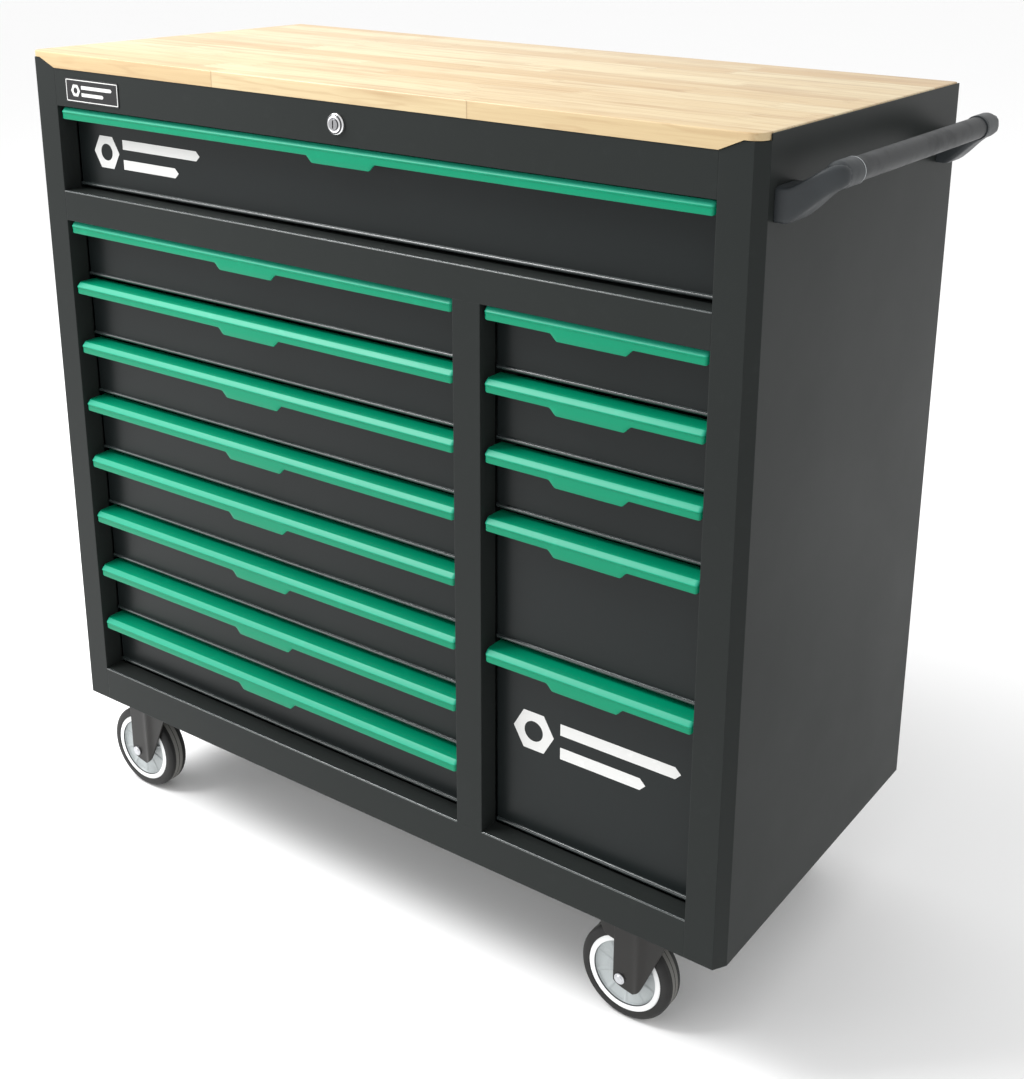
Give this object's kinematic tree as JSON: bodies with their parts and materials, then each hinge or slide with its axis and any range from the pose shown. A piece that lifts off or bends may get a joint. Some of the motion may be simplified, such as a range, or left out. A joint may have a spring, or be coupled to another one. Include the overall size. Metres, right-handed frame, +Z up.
{
  "type": "rolling tool chest",
  "caption": "Steel tool chest on swivel casters: a wide drawer over two columns of sliding drawers, solid wood top and a side push handle.",
  "frame": {"origin": "on the floor, under the middle of the chest's overall box (handle and lock included)", "axes": "+Z up, drawers open towards -Y, +X to the right seen from the front, towards the handle side"},
  "size_m": [1.131, 0.5042, 1.0942],
  "materials": {
    "cabinet_paint": "satin powder coat",
    "drawer_paint": "satin powder coat",
    "caster_paint": "satin black paint",
    "pull_green": "satin powder coat on extruded aluminium",
    "top_wood": "clear lacquered glued staves",
    "zinc": "bright zinc plate",
    "tube_steel": "drawn tube",
    "bracket_plastic": "moulded, fine texture",
    "grip_rubber": "matt foam grip",
    "lock_chrome": "polished plate",
    "hub_plastic": "moulded, light grey",
    "tyre_rubber": "moulded black rubber"
  },
  "bodies": {
    "cabinet": {"side_panel_left": "cabinet_paint", "side_panel_right": "cabinet_paint", "back_panel": "cabinet_paint", "base_panel": "cabinet_paint", "face_frame": "cabinet_paint", "wood_top": "top_wood", "runner_posts": "cabinet_paint", "cabinet_runners": "zinc", "handle_brackets": "bracket_plastic", "handle_tube": "tube_steel", "handle_grip": "grip_rubber", "lock_housing": "lock_chrome", "caster_plates": "zinc", "caster_bolts": "zinc"},
    "drawer_top": {"drawer_top": "drawer_paint", "pull_top": "pull_green"},
    "drawer_left_1": {"drawer_left_1": "drawer_paint", "pull_left_1": "pull_green"},
    "drawer_left_2": {"drawer_left_2": "drawer_paint", "pull_left_2": "pull_green"},
    "drawer_left_3": {"drawer_left_3": "drawer_paint", "pull_left_3": "pull_green"},
    "drawer_left_4": {"drawer_left_4": "drawer_paint", "pull_left_4": "pull_green"},
    "drawer_left_5": {"drawer_left_5": "drawer_paint", "pull_left_5": "pull_green"},
    "drawer_left_6": {"drawer_left_6": "drawer_paint", "pull_left_6": "pull_green"},
    "drawer_left_7": {"drawer_left_7": "drawer_paint", "pull_left_7": "pull_green"},
    "drawer_left_8": {"drawer_left_8": "drawer_paint", "pull_left_8": "pull_green"},
    "drawer_right_1": {"drawer_right_1": "drawer_paint", "pull_right_1": "pull_green"},
    "drawer_right_2": {"drawer_right_2": "drawer_paint", "pull_right_2": "pull_green"},
    "drawer_right_3": {"drawer_right_3": "drawer_paint", "pull_right_3": "pull_green"},
    "drawer_right_4": {"drawer_right_4": "drawer_paint", "pull_right_4": "pull_green"},
    "drawer_right_5": {"drawer_right_5": "drawer_paint", "pull_right_5": "pull_green"},
    "swivel_front_left": {"fork_front_left": "caster_paint", "axle_bolt_front_left": "zinc"},
    "wheel_front_left": {"wheel_core_front_left": "hub_plastic", "tyre_front_left": "tyre_rubber"},
    "swivel_front_right": {"fork_front_right": "caster_paint", "axle_bolt_front_right": "zinc"},
    "wheel_front_right": {"wheel_core_front_right": "hub_plastic", "tyre_front_right": "tyre_rubber"},
    "swivel_rear_left": {"fork_rear_left": "caster_paint", "axle_bolt_rear_left": "zinc"},
    "wheel_rear_left": {"wheel_core_rear_left": "hub_plastic", "tyre_rear_left": "tyre_rubber"},
    "swivel_rear_right": {"fork_rear_right": "caster_paint", "axle_bolt_rear_right": "zinc"},
    "wheel_rear_right": {"wheel_core_rear_right": "hub_plastic", "tyre_rear_right": "tyre_rubber"},
    "brake": {"brake_lever": "caster_paint"},
    "lock_plug": {"lock_plug": "lock_chrome"}
  },
  "joints": [
    {"name": "drawer_top_slide", "type": "slide", "parent": "cabinet", "child": "drawer_top", "axis": [0, -1, 0], "range_m": [0, 0.3]},
    {"name": "drawer_left_1_slide", "type": "slide", "parent": "cabinet", "child": "drawer_left_1", "axis": [0, -1, 0], "range_m": [0, 0.3]},
    {"name": "drawer_left_2_slide", "type": "slide", "parent": "cabinet", "child": "drawer_left_2", "axis": [0, -1, 0], "range_m": [0, 0.3]},
    {"name": "drawer_left_3_slide", "type": "slide", "parent": "cabinet", "child": "drawer_left_3", "axis": [0, -1, 0], "range_m": [0, 0.3]},
    {"name": "drawer_left_4_slide", "type": "slide", "parent": "cabinet", "child": "drawer_left_4", "axis": [0, -1, 0], "range_m": [0, 0.3]},
    {"name": "drawer_left_5_slide", "type": "slide", "parent": "cabinet", "child": "drawer_left_5", "axis": [0, -1, 0], "range_m": [0, 0.3]},
    {"name": "drawer_left_6_slide", "type": "slide", "parent": "cabinet", "child": "drawer_left_6", "axis": [0, -1, 0], "range_m": [0, 0.3]},
    {"name": "drawer_left_7_slide", "type": "slide", "parent": "cabinet", "child": "drawer_left_7", "axis": [0, -1, 0], "range_m": [0, 0.3]},
    {"name": "drawer_left_8_slide", "type": "slide", "parent": "cabinet", "child": "drawer_left_8", "axis": [0, -1, 0], "range_m": [0, 0.3]},
    {"name": "drawer_right_1_slide", "type": "slide", "parent": "cabinet", "child": "drawer_right_1", "axis": [0, -1, 0], "range_m": [0, 0.3]},
    {"name": "drawer_right_2_slide", "type": "slide", "parent": "cabinet", "child": "drawer_right_2", "axis": [0, -1, 0], "range_m": [0, 0.3]},
    {"name": "drawer_right_3_slide", "type": "slide", "parent": "cabinet", "child": "drawer_right_3", "axis": [0, -1, 0], "range_m": [0, 0.3]},
    {"name": "drawer_right_4_slide", "type": "slide", "parent": "cabinet", "child": "drawer_right_4", "axis": [0, -1, 0], "range_m": [0, 0.3]},
    {"name": "drawer_right_5_slide", "type": "slide", "parent": "cabinet", "child": "drawer_right_5", "axis": [0, -1, 0], "range_m": [0, 0.3]},
    {"name": "swivel_front_left_turn", "type": "hinge", "parent": "cabinet", "child": "swivel_front_left", "pos_m": [-0.4601, -0.1909, 0.15], "axis": [0, 0, 1], "continuous": true},
    {"name": "wheel_front_left_roll", "type": "hinge", "parent": "swivel_front_left", "child": "wheel_front_left", "pos_m": [-0.5027, -0.1909, 0.0625], "axis": [0, 1, 0], "continuous": true},
    {"name": "swivel_front_right_turn", "type": "hinge", "parent": "cabinet", "child": "swivel_front_right", "pos_m": [0.3961, -0.1909, 0.15], "axis": [0, 0, 1], "continuous": true},
    {"name": "wheel_front_right_roll", "type": "hinge", "parent": "swivel_front_right", "child": "wheel_front_right", "pos_m": [0.3535, -0.1909, 0.0625], "axis": [0, 1, 0], "continuous": true},
    {"name": "swivel_rear_left_turn", "type": "hinge", "parent": "cabinet", "child": "swivel_rear_left", "pos_m": [-0.4601, 0.1971, 0.15], "axis": [0, 0, 1], "continuous": true},
    {"name": "wheel_rear_left_roll", "type": "hinge", "parent": "swivel_rear_left", "child": "wheel_rear_left", "pos_m": [-0.5027, 0.1971, 0.0625], "axis": [0, 1, 0], "continuous": true},
    {"name": "swivel_rear_right_turn", "type": "hinge", "parent": "cabinet", "child": "swivel_rear_right", "pos_m": [0.3961, 0.1971, 0.15], "axis": [0, 0, 1], "continuous": true},
    {"name": "wheel_rear_right_roll", "type": "hinge", "parent": "swivel_rear_right", "child": "wheel_rear_right", "pos_m": [0.3535, 0.1971, 0.0625], "axis": [0, 1, 0], "continuous": true},
    {"name": "brake_lift", "type": "hinge", "parent": "swivel_front_right", "child": "brake", "pos_m": [0.3495, -0.1909, 0.134], "axis": [0, 1, 0], "range_deg": [0, 18]},
    {"name": "lock_turn", "type": "hinge", "parent": "cabinet", "child": "lock_plug", "pos_m": [-0.032, -0.2459, 1.0507], "axis": [0, -1, 0], "range_deg": [0, 90]}
  ]
}
